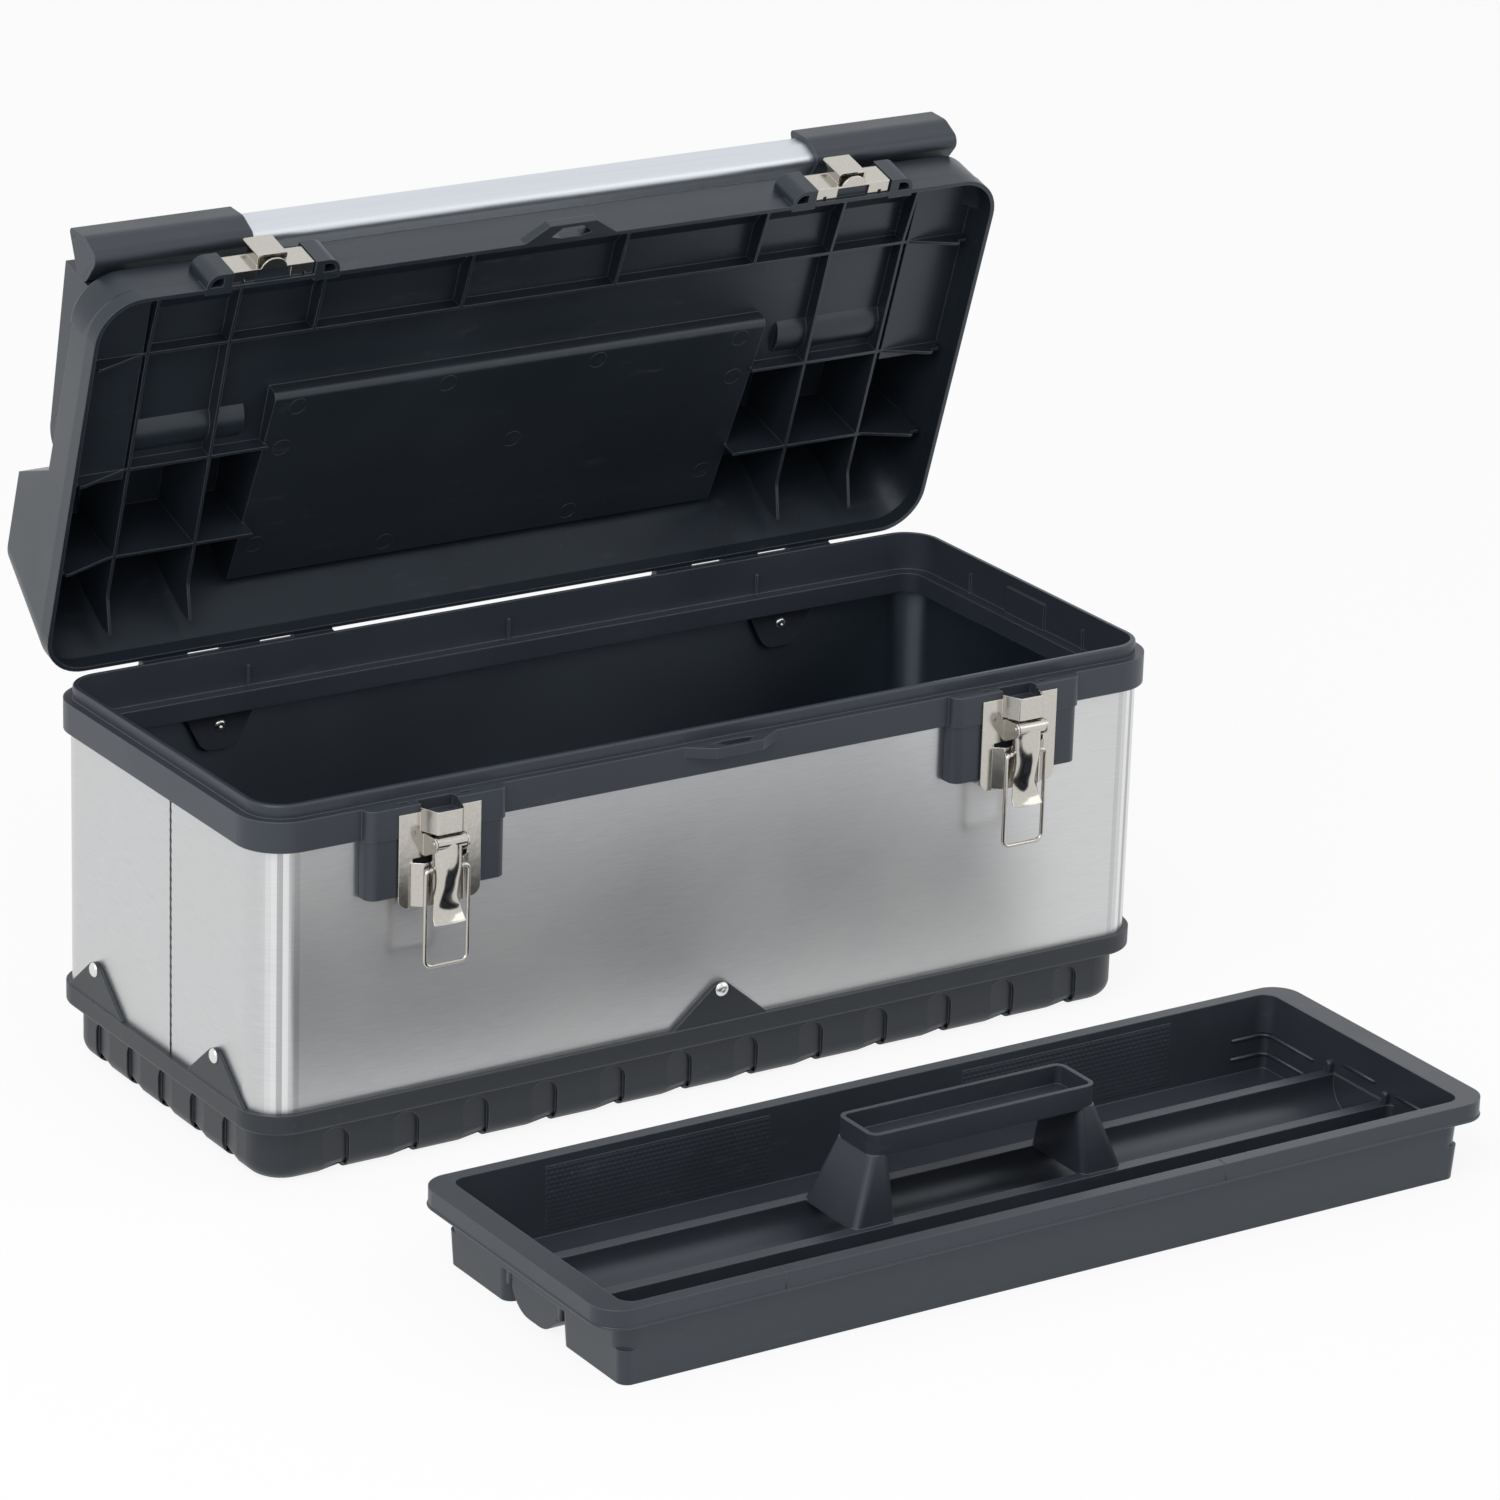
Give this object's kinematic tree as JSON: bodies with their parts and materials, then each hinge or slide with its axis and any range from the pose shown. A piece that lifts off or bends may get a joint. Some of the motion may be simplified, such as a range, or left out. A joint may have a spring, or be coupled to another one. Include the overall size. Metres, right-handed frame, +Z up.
{
  "type": "tool case",
  "caption": "Long tool case with a steel sleeve between black mouldings, a ribbed hinged lid with folding carry handle, draw latches and a lift-out tray",
  "frame": {"origin": "centre of the case's flat underside", "axes": "+X to the case's right seen from the latch side, +Y to the hinges, +Z up"},
  "size_m": [0.5943, 0.5997, 0.4726],
  "materials": {
    "black_moulding": "fine-grained moulded black plastic",
    "steel_sheet": "satin stainless sheet",
    "zinc_plate": "bright plated pressings and wire",
    "grip_metal": "satin extruded aluminium",
    "rivet_metal": "bright rivet heads"
  },
  "bodies": {
    "case": {"base_tub": "black_moulding", "steel_sleeve": "steel_sheet", "collar": "black_moulding", "base_rivets": "rivet_metal", "collar_rivets": "rivet_metal", "latch_plate_left": "zinc_plate", "latch_plate_right": "zinc_plate", "lever_pin_left": "zinc_plate", "lever_pin_right": "zinc_plate", "hinge_pin_left": "zinc_plate", "hinge_pin_right": "zinc_plate"},
    "lid": {"lid_shell": "black_moulding", "keeper_left": "zinc_plate", "keeper_right": "zinc_plate", "pivot_pin_left": "black_moulding", "pivot_pin_right": "black_moulding"},
    "handle": {"handle_arm_left": "black_moulding", "handle_arm_right": "black_moulding", "handle_bar": "grip_metal", "grip_end_cap_left": "black_moulding", "grip_end_cap_right": "black_moulding", "pivot_cap_left": "black_moulding", "pivot_cap_right": "black_moulding"},
    "lever_left": {"latch_lever_left": "zinc_plate"},
    "lever_right": {"latch_lever_right": "zinc_plate"},
    "bail_left": {"latch_bail_left": "zinc_plate"},
    "bail_right": {"latch_bail_right": "zinc_plate"},
    "tray": {"tool_tray": "black_moulding"}
  },
  "joints": [
    {"name": "lid_hinge", "type": "hinge", "parent": "case", "child": "lid", "pos_m": [0, 0.1272, 0.2085], "axis": [-1, 0, 0], "range_deg": [-72.6, 35]},
    {"name": "handle_pivot", "type": "hinge", "parent": "lid", "child": "handle", "pos_m": [0, 0.12312, 0.35362], "axis": [-1, 0, 0], "range_deg": [0, 90]},
    {"name": "lever_pivot_left", "type": "hinge", "parent": "case", "child": "lever_left", "pos_m": [-0.1865, -0.14, 0.1902], "axis": [1, 0, 0], "range_deg": [-110, 0]},
    {"name": "lever_pivot_right", "type": "hinge", "parent": "case", "child": "lever_right", "pos_m": [0.1865, -0.14, 0.1902], "axis": [1, 0, 0], "range_deg": [-110, 0]},
    {"name": "bail_pivot_left", "type": "hinge", "parent": "lever_left", "child": "bail_left", "pos_m": [-0.1865, -0.1372, 0.1745], "axis": [-1, 0, 0], "range_deg": [0, 187]},
    {"name": "bail_pivot_right", "type": "hinge", "parent": "lever_right", "child": "bail_right", "pos_m": [0.1865, -0.1372, 0.1745], "axis": [-1, 0, 0], "range_deg": [0, 187]},
    {"name": "tray_lift", "type": "slide", "parent": "case", "child": "tray", "axis": [0, 0, 1], "range_m": [0, 0.25]}
  ]
}
